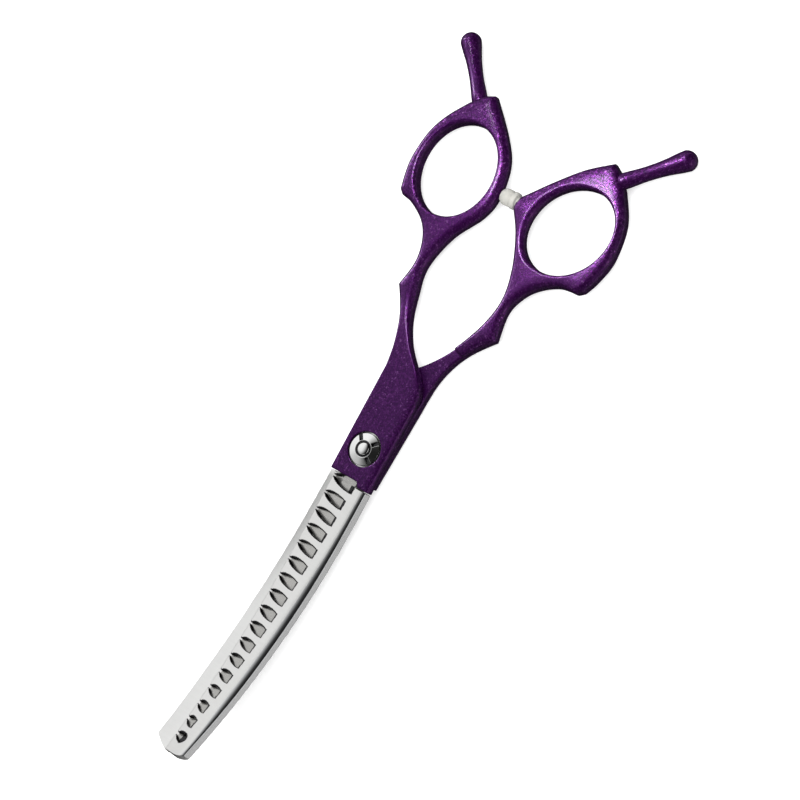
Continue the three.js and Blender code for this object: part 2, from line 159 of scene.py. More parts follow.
class PlanDistance:
    """Signed distance to a closed loop in plan, negative inside. It is worked out on a grid, within reach
    of the loop, and read between the grid's points."""

    def __init__(self, loop, step=0.125, reach=3.0, margin=1.5):
        self.step = step
        self.low = loop.min(0) - margin
        nx, ny = (np.ceil((np.ptp(loop, 0) + 2 * margin) / step)).astype(int) + 1
        square = np.full((nx, ny), reach**2)
        inside = np.zeros((nx, ny), bool)
        x0, y0 = self.low
        for a, b in zip(loop, np.roll(loop, -1, 0)):
            i0, j0 = np.maximum(((np.minimum(a, b) - reach - self.low) / step).astype(int), 0)
            i1, j1 = np.minimum(((np.maximum(a, b) + reach - self.low) / step).astype(int) + 2, (nx, ny))
            px = (x0 + step * np.arange(i0, i1) - a[0])[:, None]
            py = (y0 + step * np.arange(j0, j1) - a[1])[None, :]
            e = b - a
            t = np.clip((px * e[0] + py * e[1]) / max(e @ e, TINY**2), 0, 1)
            block = square[i0:i1, j0:j1]
            np.minimum(block, (px - t * e[0]) ** 2 + (py - t * e[1]) ** 2, out=block)
            first, last = sorted((math.ceil((q[1] - y0) / step) for q in (a, b)))
            for j in range(first, last):
                cross = a[0] + (y0 + j * step - a[1]) * e[0] / e[1]
                inside[max(0, math.ceil((cross - x0) / step)):, j] ^= True
        self.grid = np.where(inside, -1, 1) * np.sqrt(square)

    def __call__(self, x, y):
        nx, ny = self.grid.shape
        u = np.clip((x - self.low[0]) / self.step, 0, nx - 1.001)
        v = np.clip((y - self.low[1]) / self.step, 0, ny - 1.001)
        i, j = u.astype(int), v.astype(int)
        fu, fv = u - i, v - j
        g = self.grid
        near = g[i, j] * (1 - fu) + g[i + 1, j] * fu
        far = g[i, j + 1] * (1 - fu) + g[i + 1, j + 1] * fu
        return near * (1 - fv) + far * fv


# ---------------------------------------------------------------- from a field to a mesh
PULLS = 3  # how often each vertex is moved towards the surface
PROBE = 0.02  # distance at which the field's slope is measured


def surface(field, low, high, step):
    """Vertices and quads of the surface where field is zero. Each vertex is then moved onto that surface."""
    low = np.array(low, float)
    n = np.ceil((np.array(high) - low) / step).astype(int) + 1
    axes = [low[k] + step * np.arange(n[k]) for k in range(3)]
    f = field(axes[0][:, None, None], axes[1][None, :, None], axes[2][None, None, :]).astype(np.float32)
    s = f < 0
    corners = [(i, j, k) for i in (0, 1) for j in (0, 1) for k in (0, 1)]
    span = lambda c: tuple(slice(c[k], n[k] - 1 + c[k]) for k in range(3))
    count = sum(s[span(c)].astype(np.int8) for c in corners)
    cells = np.argwhere((count > 0) & (count < 8))
    number = np.full(tuple(n - 1), -1, np.int32)
    number[tuple(cells.T)] = np.arange(len(cells))
    total, hits = np.zeros((len(cells), 3)), np.zeros(len(cells))
    value = {c: f[tuple((cells + c).T)] for c in corners}
    for a in corners:
        for k in range(3):
            if a[k]:
                continue
            b = tuple(1 if m == k else a[m] for m in range(3))
            cross = (value[a] < 0) != (value[b] < 0)
            t = np.where(cross, value[a] / np.where(cross, value[a] - value[b], 1), 0)
            place = np.tile(np.array(a, float), (len(cells), 1))
            place[:, k] += t
            total += place * cross[:, None]
            hits += cross
    points = low + step * (cells + total / hits[:, None])
    quads = []
    for k in range(3):
        p, q = (k + 1) % 3, (k + 2) % 3
        one = tuple(slice(0, n[m] - 1) if m == k else slice(1, n[m] - 1) for m in range(3))
        two = tuple(slice(1, n[m]) if m == k else slice(1, n[m] - 1) for m in range(3))
        edge = np.argwhere(s[one] != s[two])
        edge[:, p] += 1
        edge[:, q] += 1
        flip = s[tuple(edge.T)]
        ring = []
        for dp, dq in ((-1, -1), (0, -1), (0, 0), (-1, 0)):
            c = edge.copy()
            c[:, p] += dp
            c[:, q] += dq
            ring.append(number[tuple(c.T)])
        ring = np.stack(ring, 1)
        quads.append(np.where(flip[:, None], ring, ring[:, ::-1]))
    quads = np.concatenate(quads)
    for _ in range(PULLS):
        here = field(*points.T)
        rises = [field(*(points + d).T) - field(*(points - d).T) for d in np.eye(3) * PROBE]
        slope = np.stack([rise / (2 * PROBE) for rise in rises], 1)
        move = -(here / np.maximum((slope**2).sum(1), 0.3))[:, None] * slope
        points += np.clip(move, -0.3 * step, 0.3 * step)
    return points, quads


def finish_object(name, mesh, materials, body, replaced):
    for material in materials:
        mesh.materials.append(material)
    piece = bpy.data.objects.new(name, mesh)
    bpy.context.scene.collection.objects.link(piece)
    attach(piece, body)
    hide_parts(*replaced)
    return piece


def make_surface(
    name, field, low, high, step, materials, body, *replaced, slot=None, zones=None, move=None,
):
    """A piece whose skin is where field is zero. zones gives each face's material from its middle, before
    move carries the points to their final places."""
    points, quads = surface(field, low, high, step)
    mesh = bpy.data.meshes.new(name)
    mesh.vertices.add(len(points))
    mesh.loops.add(quads.size)
    mesh.loops.foreach_set("vertex_index", quads.astype(np.int32).ravel())
    mesh.polygons.add(len(quads))
    mesh.polygons.foreach_set("loop_start", np.arange(0, quads.size, 4, dtype=np.int32))
    mesh.polygons.foreach_set("use_smooth", np.ones(len(quads), bool))
    if zones is not None:
        mesh.polygons.foreach_set("material_index", zones(*points[quads].mean(1).T).astype(np.int32))
    if move is not None:
        points = np.stack(move(*points.T), 1)
    mesh.vertices.foreach_set("co", (points * MM).astype(np.float32).ravel())
    mesh.update(calc_edges=True)
    return finish_object(name, mesh, materials, body, replaced)


def make_turned(name, shape, materials, body, *replaced, slot=None):
    """A piece from lathe()'s points and faces."""
    points, faces = shape
    mesh = bpy.data.meshes.new(name)
    mesh.from_pydata([tuple(p) for p in points * MM], [], faces)
    work = bmesh.new()
    work.from_mesh(mesh)
    bmesh.ops.recalc_face_normals(work, faces=work.faces)
    work.to_mesh(mesh)
    work.free()
    mesh.polygons.foreach_set("use_smooth", np.ones(len(faces), bool))
    return finish_object(name, mesh, materials, body, replaced)


def soften(profile, radius):
    """The profile with each corner between its ends rounded by about this radius."""
    p = [np.array(q, float) for q in profile]
    out = [p[0]]
    for a, b, c in zip(p, p[1:], p[2:]):
        la, lc = np.linalg.norm(a - b), np.linalg.norm(c - b)
        if b[0] < TINY or min(la, lc) < TINY:
            out.append(b)
            continue
        r = min(radius, 0.45 * la, 0.45 * lc)
        start, end = b + (a - b) / la * r, b + (c - b) / lc * r
        for t in (0, 0.25, 0.5, 0.75, 1):
            out.append((1 - t) ** 2 * start + 2 * t * (1 - t) * b + t * t * end)
    out.append(p[-1])
    return out


def lathe(profile, sides=64, place=None, tilt=0.0):
    """Turns (radius, height) pairs about Z, with heights from the ride plane, or about the axis that lies in
    the ride plane at a place and points down from there by tilt degrees."""
    points, faces, rows = [], [], []
    for radius, height in profile:
        a = np.arange(sides) * 2 * math.pi / sides
        rows.append(len(points))
        if radius < TINY:
            points.append((0, 0, height))
        else:
            points += list(zip(radius * np.cos(a), radius * np.sin(a), np.full(sides, height)))
    pairs = list(zip(range(len(profile)), range(1, len(profile))))
    if profile[0][0] > TINY:
        pairs.append((len(profile) - 1, 0))
    for one, two in pairs:
        for k in range(sides):
            m = (k + 1) % sides
            low = [rows[one]] if profile[one][0] < TINY else [rows[one] + k, rows[one] + m]
            high = [rows[two]] if profile[two][0] < TINY else [rows[two] + m, rows[two] + k]
            if len(low) + len(high) > 2:
                faces.append(low + high)
    points = np.array(points, float)
    if place is not None:
        turn = Matrix.Rotation(math.radians(place["heading"]), 4, "Z")
        turn = turn @ Matrix.Rotation(math.radians(tilt), 4, "Y")
        turn = turn @ Matrix.Rotation(math.radians(90), 4, "Y")
        spin = np.array(turn.to_3x3())
        points = points @ spin.T + np.array([place["x"], place["y"], 0])
    return points + np.array([0, 0, RIDE]), faces


# ---------------------------------------------------------------- materials
def new_material(name):
    material = bpy.data.materials.new(name)
    material.use_nodes = True
    nodes, links = material.node_tree.nodes, material.node_tree.links
    shader = nodes["Principled BSDF"]

    def node(kind, **settings):
        made = nodes.new(kind)
        for key, value in settings.items():
            if hasattr(made, key):
                setattr(made, key, value)
            else:
                made.inputs[key.replace("_", " ")].default_value = value
        return made

    place = node("ShaderNodeTexCoord")
    return material, shader, node, links, place.outputs["Object"]


def ramp(node, links, source, stops):
    """A colour from (position, (red, green, blue)) stops."""
    made = node("ShaderNodeValToRGB")
    elements = made.color_ramp.elements
    elements[0].position, elements[-1].position = stops[0][0], stops[-1][0]
    elements[0].color, elements[-1].color = (*stops[0][1], 1), (*stops[-1][1], 1)
    for position, colour in stops[1:-1]:
        elements.new(position).color = (*colour, 1)
    links.new(source, made.inputs["Fac"])
    return made.outputs["Color"]


def span_value(node, links, source, low, high):
    made = node("ShaderNodeMapRange", To_Min=low, To_Max=high)
    links.new(source, made.inputs["Value"])
    return made.outputs["Result"]


def flake_paint(name):
    """Violet lacquer over metal flakes: each flake has its own tint and its own small tilt."""
    material, shader, node, links, place = new_material(name)
    flakes = node("ShaderNodeTexVoronoi", Scale=3400.0, Randomness=1.0)
    links.new(place, flakes.inputs["Vector"])
    split = node("ShaderNodeSeparateColor")
    links.new(flakes.outputs["Color"], split.inputs["Color"])
    cloud = node("ShaderNodeTexNoise", Scale=900.0, Detail=4.0, Roughness=0.6)
    links.new(place, cloud.inputs["Vector"])
    blend = node("ShaderNodeMath", operation="MULTIPLY_ADD")
    blend.inputs[1].default_value = 0.45
    links.new(cloud.outputs["Fac"], blend.inputs[0])
    links.new(span_value(node, links, split.outputs["Red"], 0.0, 0.55), blend.inputs[2])
    colour = ramp(node, links, blend.outputs[0], [
        (0.12, (0.013, 0.0006, 0.022)),
        (0.48, (0.024, 0.0015, 0.038)),
        (0.74, (0.045, 0.006, 0.065)),
        (0.92, (0.165, 0.070, 0.205)),
    ])
    links.new(colour, shader.inputs["Base Color"])
    links.new(span_value(node, links, split.outputs["Green"], 0.28, 0.42), shader.inputs["Roughness"])
    normal = node("ShaderNodeNewGeometry")
    centred = node("ShaderNodeVectorMath", operation="SUBTRACT")
    centred.inputs[1].default_value = (0.5, 0.5, 0.5)
    links.new(flakes.outputs["Color"], centred.inputs[0])
    tilt = node("ShaderNodeVectorMath", operation="MULTIPLY_ADD")
    tilt.inputs[1].default_value = (0.22, 0.22, 0.22)
    links.new(centred.outputs[0], tilt.inputs[0])
    links.new(normal.outputs["Normal"], tilt.inputs[2])
    unit = node("ShaderNodeVectorMath", operation="NORMALIZE")
    links.new(tilt.outputs[0], unit.inputs[0])
    links.new(unit.outputs[0], shader.inputs["Normal"])
    shader.inputs["Metallic"].default_value = 0.75
    shader.inputs["Specular IOR Level"].default_value = 0.05
    shader.inputs["Coat Weight"].default_value = 0.20
    shader.inputs["Coat Roughness"].default_value = 0.26
    return material


def ground_steel(name, low, high, tint, stretch=(1, 1, 1), grain=1400.0, bump=0.05, metallic=1.0):
    """Steel with fine grinding marks that run along the axis whose stretch is smallest."""
    material, shader, node, links, place = new_material(name)
    aim = node("ShaderNodeMapping", Scale=stretch)
    links.new(place, aim.inputs["Vector"])
    marks = node("ShaderNodeTexNoise", Scale=grain, Detail=6.0, Roughness=0.65)
    links.new(aim.outputs["Vector"], marks.inputs["Vector"])
    haze = node("ShaderNodeTexNoise", Scale=90.0, Detail=3.0)
    links.new(place, haze.inputs["Vector"])
    both = node("ShaderNodeMath", operation="MULTIPLY_ADD")
    both.inputs[1].default_value = 0.6
    links.new(marks.outputs["Fac"], both.inputs[0])
    links.new(span_value(node, links, haze.outputs["Fac"], 0.0, 0.4), both.inputs[2])
    dark = tuple(0.90 * c for c in tint)
    colour = ramp(node, links, both.outputs[0], [(0.25, dark), (0.75, tint)])
    links.new(colour, shader.inputs["Base Color"])
    links.new(span_value(node, links, both.outputs[0], low, high), shader.inputs["Roughness"])
    relief = node("ShaderNodeBump", Strength=bump, Distance=0.00002)
    links.new(marks.outputs["Fac"], relief.inputs["Height"])
    links.new(relief.outputs["Normal"], shader.inputs["Normal"])
    shader.inputs["Metallic"].default_value = metallic
    return material


def cloudy_rubber(name):
    material, shader, node, links, place = new_material(name)
    cloud = node("ShaderNodeTexNoise", Scale=260.0, Detail=2.0, Roughness=0.5)
    links.new(place, cloud.inputs["Vector"])
    stops = [(0.3, (0.42, 0.42, 0.39)), (0.7, (0.62, 0.61, 0.57))]
    colour = ramp(node, links, cloud.outputs["Fac"], stops)
    links.new(colour, shader.inputs["Base Color"])
    links.new(span_value(node, links, cloud.outputs["Fac"], 0.10, 0.24), shader.inputs["Roughness"])
    shader.inputs["Transmission Weight"].default_value = 0.45
    shader.inputs["IOR"].default_value = 1.42
    return material


def dull_plastic(name, low, high):
    material, shader, node, links, place = new_material(name)
    grain = node("ShaderNodeTexNoise", Scale=1100.0, Detail=4.0)
    links.new(place, grain.inputs["Vector"])
    colour = ramp(node, links, grain.outputs["Fac"], [(0.3, low), (0.7, high)])
    links.new(colour, shader.inputs["Base Color"])
    links.new(span_value(node, links, grain.outputs["Fac"], 0.45, 0.62), shader.inputs["Roughness"])
    return material


PAINT = flake_paint("violet_flake_lacquer")

# Directions of the grinding marks: the smallest number is the axis that they run along.
ALONG_X, ACROSS, ALONG_Z, EVEN = (0.15, 1.0, 1.0), (1.0, 0.12, 1.0), (1.0, 1.0, 0.2), (1.0, 1.0, 1.0)
SATIN = ground_steel("satin_steel", 0.24, 0.36, (0.80, 0.80, 0.79), ACROSS, metallic=0.92)
FACE = ground_steel("ground_face_steel", 0.24, 0.36, (0.69, 0.69, 0.68), ACROSS, metallic=0.92)
MIRROR = ground_steel("mirror_steel", 0.08, 0.15, (0.74, 0.75, 0.76), ALONG_X, bump=0.02)
# Brushed spine walls. The brushing is real; their tint, darker than the faces, is painted shade.
BRUSHED_SPINE_PAINTED_SHADE = ground_steel("brushed_spine_painted_shade_steel", 0.20, 0.32, (0.55, 0.55, 0.55), (0.10, 1.0, 1.0), metallic=0.92)
# The cutting blade's ride face under the teeth is hollow ground. Its tint, darker than the exposed strip, is
# painted shade between the blades.
RIDE_FACE_PAINTED_SHADE = ground_steel(
    "hollow_ground_painted_shade_steel", 0.20, 0.30, (0.43, 0.425, 0.41), ACROSS, bump=0.03, metallic=0.92,
)
# Near-black steel is painted shade: on the gap walls, along the cutting edge's dark line, and in the dial's
# slots, groove and sides.
PAINTED_SHADE_STEEL = ground_steel("painted_shade_steel", 0.20, 0.34, (0.045, 0.045, 0.048), ALONG_Z)
TURNED = ground_steel("polished_screw_steel", 0.07, 0.14, (0.86, 0.87, 0.86), EVEN, 2200.0, 0.02)
PIN = ground_steel("pin_steel", 0.25, 0.40, (0.62, 0.62, 0.63), ALONG_Z)
BRASS = ground_steel("bush_brass", 0.25, 0.40, (0.72, 0.52, 0.24), ALONG_Z)
RUBBER = cloudy_rubber("cloudy_rubber")
NYLON = dull_plastic("washer_nylon", (0.72, 0.70, 0.64), (0.84, 0.82, 0.77))


# ---------------------------------------------------------------- handles
FRONT_OUTLINE = [
    [(7.9, -6.0), (-21, -5.9)],
    [(-21, -5.9), (-26, -6.7), (-30, -8.1), (-34, -10.2), (-40.1, -14.6)],
    [(-40.1, -14.6), (-46.5, -13.5), (-52, -14.5), (-56.4, -17.3), (-59.4, -22), (-60.3, -25.6)],
    [(-60.3, -25.6), (-61.4, -26.8)],
    [(-61.4, -26.8), (-68.8, -28.2), (-77, -27.4), (-83, -24.9), (-88.5, -21.0)],
    [(-88.5, -21.0), (-91.7, -17.7)],
    [(-91.7, -17.7), (-92.7, -15.4)],
    [(-92.7, -15.4), (-84.6, -7.2), (-78.5, -3.1), (-70.5, -1.65), (-64.3, -3.0), (-56.3, -7.9),
     (-47.2, -10.3), (-40.1, -9.0), (-34, -6.7), (-28, -2.6), (-22, 3.4), (-18.5, 5.8), (-14, 6.6)],
    [(-14, 6.6), (9.2, 6.4)],
    [(9.2, 6.4), (9.2, 3.1)],
    [(9.2, 3.1), (7.9, 2.3)],
    [(7.9, 2.3), (7.9, -6.0)],
]
BACK_OUTLINE = [
    [(7.9, 5.3), (7.9, -6.9)],
    [(7.9, -6.9), (-13, -6.6)],
    [(-13, -6.6), (-17, -5.6), (-21, -2.6), (-26, 2.6), (-32, 7.0), (-40, 11.1), (-48, 12.7),
     (-56, 11.1), (-64, 7.4), (-69.3, 3.7)],
    [(-69.3, 3.7), (-71, 3.2), (-72.7, 3.7)],
    [(-72.7, 3.7), (-80, 10.2), (-86, 16.3), (-90.4, 22.6)],
    [(-90.4, 22.6), (-89.2, 24.5)],
    [(-89.2, 24.5), (-85.5, 28.1)],
    [(-85.5, 28.1), (-78.2, 32.6), (-69.3, 34.1), (-63, 32.9), (-58.9, 31.2)],
    [(-58.9, 31.2), (-57.8, 29.8)],
    [(-57.8, 29.8), (-57.2, 24.6), (-54, 19.5), (-50, 16.6), (-45.5, 15.5), (-38.5, 16.6)],
    [(-38.5, 16.6), (-33, 11.5), (-28, 8.4), (-22, 6.7), (-14, 6.25)],
    [(-14, 6.25), (7.9, 5.3)],
]
FRONT_HOLE = (-72.0, -15.1, 12.4, 10.4, 0)  # middle, half axes and turn of a ring's opening
BACK_HOLE = (-70.5, 20.5, 12.3, 10.5, -34)
FRONT_REST = {"x": -90.1, "y": -19.35, "heading": 221}
BACK_REST = {"x": -87.4, "y": 26.3, "heading": 133.5}
BUMPER = {"x": -71.5, "y": 5.2, "heading": -90}

RING_HALF, TANG_HALF = 2.3, 1.5  # half the thickness
TANG_MIDDLE = TANG_HALF + RIDE_GAP  # how far a tang's middle plane is from the ride plane
NEAR = 0.4  # distance at which an outline's direction is measured

PINS = [(-8, 2.2), (-12, -2.2)]
PIN_RADIUS, PIN_HOLE = 0.9, 1.05
PLATE_BACK, PLATE_TOP = -14, 1.85  # the blades' flat tangs inside the handles
FIT = 0.3  # gap left between pieces that touch
STUD_RADIUS, STUD_HALF, STUD_HOLE = 1.0, 3.0, 1.2
BUSH_HOLE, NUT_HOLE = 2.8, 2.9
COUNTERBORE, COUNTERBORE_FLOOR = 4.5, 6.35
SWEEP = 33  # the back handle is cut down to the ride plane inside this radius


def pin_holes(x, y, z, z0, z1):
    return [rod_field(x, y, z, px, py, PIN_HOLE, z0, z1) for px, py in PINS]


def handle_field(side, outer, hole, tools):
    """The handle blank: thick and well rounded at the ring and neck, flat and crisp at the tang. side is 1
    for the front half and -1 for the back one."""
    front = side > 0
    lean_at = -15.0 if front else 20.5

    def field(x, y, z):
        share = smooth((x + 40) / 14)  # 0 at the ring, 1 at the tang
        half = mix(RING_HALF, TANG_HALF, share)
        middle = RIDE + side * share * TANG_MIDDLE
        d, e = outer(x, y), -hole(x, y)
        v = z - middle
        above = v > 0
        # 1 where the outline, or the opening's rim, faces +Y
        outer_faces_y = smooth((outer(x, y + NEAR) - outer(x, y - NEAR)) / 0.8 * 0.9)
        inner_faces_y = smooth((hole(x, y - NEAR) - hole(x, y + NEAR)) / 0.8)

        ring_crown = 0.50 * np.clip(1 + d / 3.2, 0, 1) ** 2 * (1 - share)
        tang_crown = share * smooth((y - 2) / 3) if front else 0
        crown = ring_crown + 0.45 * tang_crown * np.clip(1 + d / 2.6, 0, 1) ** 2
        lean = side * 0.030 * np.clip(y - lean_at, -14, 14) * smooth((-42 - x) / 12)
        top = half - crown - lean

        ring_roll = mix(1.15, 2.0 if front else 1.6, outer_faces_y)
        tang_roll = 0.3 + (0.45 * outer_faces_y if front else 0)
        a, b = mix(ring_roll, tang_roll, share), mix(1.4, tang_roll, share)
        upper = rounded_edge(d, v, top, a, b)
        lower = rounded_edge(d, v, half, mix(1.15, 0.3, share), b)
        inner_roll = (0.5 if front else 1.1) * inner_faces_y
        rim = rounded_edge(e, v, np.where(above, top, half), 0.75 + inner_roll, 0.9 + 0.8 * inner_roll)
        return tools(np.maximum(np.where(above, upper, lower), rim), x, y, z)
    return field


def front_tools(body, x, y, z):
    pocket = box_field(x, y, z, PLATE_BACK - FIT, 12, -4.5, 5.0, 3.0, RIDE + PLATE_TOP + FIT)
    body = cut(body, pocket, rod_field(x, y, z, 0, 0, BUSH_HOLE, 3, 9))
    body = soft_max(body, -rod_field(x, y, z, 0, 0, COUNTERBORE, COUNTERBORE_FLOOR, 10), 0.12)
    rest_hole = lying_rod_field(x, y, z, FRONT_REST, STUD_HOLE, -STUD_HALF - FIT, 2)
    return cut(body, *pin_holes(x, y, z, 3, 6.75), rest_hole)


def back_tools(body, x, y, z):
    relief = np.maximum(np.hypot(x, y) - SWEEP, RIDE - RIDE_GAP - z)
    body = soft_max(body, -relief, 0.7)
    pocket = box_field(x, y, z, PLATE_BACK - FIT, 12, -5.5, 4.3, RIDE - PLATE_TOP - FIT, 5)
    return cut(
        body,
        pocket,
        rod_field(x, y, z, 0, 0, NUT_HOLE, -1, 5),
        *pin_holes(x, y, z, 1.25, 4),
        lying_rod_field(x, y, z, BACK_REST, STUD_HOLE, -STUD_HALF - FIT, 2),
        lying_rod_field(x, y, z, BUMPER, 1.45, -FIT, 6),
        lying_rod_field(x, y, z, BUMPER, 1.0, -3.0, 1),
    )


def make_handle(half, side, stretches, opening, tools):
    outer, hole = PlanDistance(outline(stretches)), PlanDistance(ellipse(*opening), margin=4)
    field = handle_field(side, outer, hole, tools)
    low, high = outer.low + 0.9, outer.low + np.array(outer.grid.shape) * outer.step - 0.9
    z0, z1 = (1.3, 7.6) if side > 0 else (0.4, 6.7)
    make_surface(
        f"{half}_handle_shell", field, (*low, z0), (*high, z1), 0.22, [PAINT],
        f"{half}_half", f"{half}_handle", slot="handle_paint",
    )


make_handle("front", 1, FRONT_OUTLINE, FRONT_HOLE, front_tools)
make_handle("back", -1, BACK_OUTLINE, BACK_HOLE, back_tools)


# ---------------------------------------------------------------- blades
BLADE_START, BLADE_END = 8.3, 89.5
BEND_START, BEND_RADIUS = 19, 169
GAPS, FIRST_GAP, GAP_PITCH, GAP_HALF = 17, 10.1, 4.69, 1.26
GAP_LEAN, SLIT = 0.75, 0.4  # how far a gap slants over its length, and the slit's width
PROUD = 2.6  # a blade's thickness at its spine
EDGE_THICK, KEEN_THICK = 0.9, 0.45  # how high each outer face stands above the ride plane at its edge
RECESS, RECESS_DEPTH = 4.1, 0.4  # for the thrust washer


def bend(s, y, z):
    """Carries a point of the straight blade onto the blades' common curve."""
    angle = np.maximum(0, s - BEND_START) / BEND_RADIUS
    reach = BEND_RADIUS - (z - RIDE)
    x = np.minimum(s, BEND_START) + reach * np.sin(angle)
    return x, y, RIDE + BEND_RADIUS - reach * np.cos(angle)


def along(s):
    """0 where the bare blade begins, 1 near its tip."""
    return np.maximum(0, s - 8) / 80


def toothed_edge(s):
    return -5.45 + 2.3 * along(s) ** 2.2


def toothed_spine(s):
    return 6.2 - 2.6 * along(s) ** 1.7


def plain_edge(s):
    return 0.28 - 2.2 * along(s) ** 2


def plain_spine(s):
    return -7.25 - 0.95 * np.sin(2.2 * along(s))


def roll_width(s):
    """Width of the polished roll beside the toothed blade's spine."""
    return 1.7 + 1.0 * smooth((s - 12) / 32) - 1.4 * smooth((s - 68) / 19)


# What is cut off beyond the tip. Its points are measured from the blade's end.
TIP = outline([
    [(-3.5, 7), (-2.6, 4.4)],
    [(-2.6, 4.4), (-0.9, 3.2), (-0.15, 1.7), (0, 0.3), (-0.25, -2.6), (-0.9, -5.0), (-2.9, -8.2)],
    [(-2.9, -8.2), (-2.9, -11)],
    [(-2.9, -11), (6, -11)],
    [(6, -11), (6, 7)],
    [(6, 7), (-3.5, 7)],
])
TIP_DISTANCE = PlanDistance(TIP + np.array([BLADE_END, 0]))


def face_height(s, y):
    """Height of the toothed blade's outer face above the ride plane, rolling off towards its spine."""
    edge, spine = toothed_edge(s), toothed_spine(s)
    rise = soft_min((y - edge) / (spine - edge) / 0.82, 1.0, 0.22)
    flat = EDGE_THICK + (PROUD + RIDE_GAP - EDGE_THICK) * np.maximum(rise, 0)
    w = roll_width(s)
    past = np.maximum(0, y - (spine - 0.45 - w))
    return flat - 0.22 * past**2 / w


def gap_distance(s, y, h):
    """Distance outside the nearest gap between two teeth, negative inside it. At the outer face a gap is
    bullet shaped; at the ride face it narrows into the slit that opens between two tooth tips."""
    number = np.clip(np.round((s - FIRST_GAP) / GAP_PITCH), 0, GAPS - 1)
    place = number * GAP_PITCH + FIRST_GAP
    first, last = number == 0, number == GAPS - 1
    bottom = toothed_edge(place) + 0.35
    top = plain_edge(place) + 1.0 - 0.33 * along(place) + 0.32 * (1 - smooth((place - 10) / 26)) + 0.04
    top = np.where(last, top + 1.25, np.where(first, top + 0.5, top))
    q = (top - y) / (top - bottom)  # 0 at the gap's root, 1 just above the tooth tips
    middle = s - place + GAP_LEAN * np.clip(q, 0, 1.1)
    notch = 0.8 * smooth(-middle / 0.8) * (1 - smooth((q - 0.6) / 0.25))
    middle = middle + np.where(first, notch, 0)

    root = 1 - 0.16 * (np.clip(0.3 - q, 0, 0.3) / 0.3) ** 2
    nose = np.clip(1 - (np.clip(q - 0.3, 0, 0.7) / 0.7) ** 2.3, 0, 1) ** 0.55
    bulge = GAP_HALF * np.where(q < 0.3, root, nose)
    thin = 1 - smooth((q - 0.45) / 0.3)
    taper = bulge + np.where(middle > 0, 0.40, -0.05) * thin - 0.40 * (1 - thin)
    slit = SLIT / 2 + np.where((number > 11) & (y < toothed_edge(place) + 0.6), 0.12, 0)
    rise = smooth(h / face_height(s, y))
    half = mix(np.maximum(taper, slit), np.maximum(bulge, slit), rise)

    rim = np.where(middle > 0, 0.20, 0.28) * np.clip(1 - (face_height(s, y) - h) / 0.30, 0, 1)
    bullet = np.maximum((np.abs(middle) - half) * 0.85, y - top - 0.6 * rim)
    round_end = np.hypot(s - place + 0.25, (y - top + GAP_HALF + 0.2) / 1.05) - GAP_HALF - 0.15
    return np.where(last & (y > top - GAP_HALF), round_end, bullet) - rim


def toothed_field(s, y, z):
    h = z - RIDE
    edge, spine = toothed_edge(s), toothed_spine(s)
    face = (h - face_height(s, y)) * 0.95
    wall = (y - spine + 0.19 * (h - RIDE_GAP)) / 1.018
    hollow = 0.16 * np.maximum(0, 1 - ((y + 1.0) / 4.6) ** 2) * smooth((s - 12) / 6)
    blade = soft_max(face, wall, 0.10)
    blade = np.maximum(blade, RIDE_GAP + hollow - h)
    blade = np.maximum(blade, edge - y)
    blade = np.maximum(blade, BLADE_START - s)
    blade = cut(blade, box_field(s, y, h, 0, 9.5, 2.6, 8, -1, 5))
    plate = box_field(s, y, h, PLATE_BACK, BLADE_START + 1, -4.2, 4.7, RIDE_GAP, PLATE_TOP)
    blade = np.minimum(blade, plate)
    blade = soft_max(blade, -np.maximum(gap_distance(s, y, h), 7.95 - s), 0.06)
    return cut(
        blade,
        TIP_DISTANCE(s, y),
        rod_field(s, y, h, 0, 0, BUSH_HOLE, -1, 4),
        rod_field(s, y, h, 0, 0, RECESS, -1, RECESS_DEPTH),
        *pin_holes(s, y, h, -1, 4),
    )


def toothed_zones(s, y, z):
    """0 on the outer face, 1 on the polished roll and the ride face, 2 on the spine wall (brushed, darkened
    as painted shade), 3 in the gaps (painted near black as shade).
    """
    h, spine = z - RIDE, toothed_spine(s)
    top = face_height(s, y)
    rolls = (y > spine - 0.45 - 0.55 * roll_width(s)) & (h > top - 0.22) & (s > 9)
    walls = (h < top - 0.12) & (y > spine - 0.28 * h - 0.2)
    rides = (h < 0.4) & (y < spine - 0.3)
    in_gap = (np.abs(gap_distance(s, y, h)) < 0.09) & (h < top - 0.02) & (h > 0.2) & (s > 7.8)
    return np.select([in_gap, rides, walls, rolls], [3, 1, 2, 1], 0)


